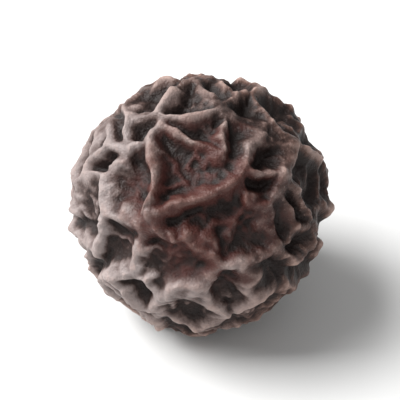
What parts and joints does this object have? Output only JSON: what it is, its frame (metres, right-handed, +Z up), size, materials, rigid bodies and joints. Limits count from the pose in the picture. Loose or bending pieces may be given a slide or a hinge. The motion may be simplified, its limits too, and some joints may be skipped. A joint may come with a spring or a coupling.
{
  "type": "black peppercorn",
  "caption": "Dried black peppercorn: a small round berry whose dark wrinkled skin stands up in a net of ridges round sunken fields.",
  "frame": {"origin": "middle of the bounding box's bottom face, on the table under the berry", "axes": "+Z up. The berry lies on its side, with the end where the flower's stigma sat pointing towards -Y, a little towards -X, and up by about 32 degrees"},
  "size_m": [0.005, 0.005, 0.0048],
  "materials": {
    "pepper_skin": "dry wrinkled plant skin, dull with a slight waxy sheen, near black in the fields and grey-brown on the ridges"
  },
  "bodies": {
    "root": {"peppercorn": "pepper_skin"}
  },
  "joints": []
}
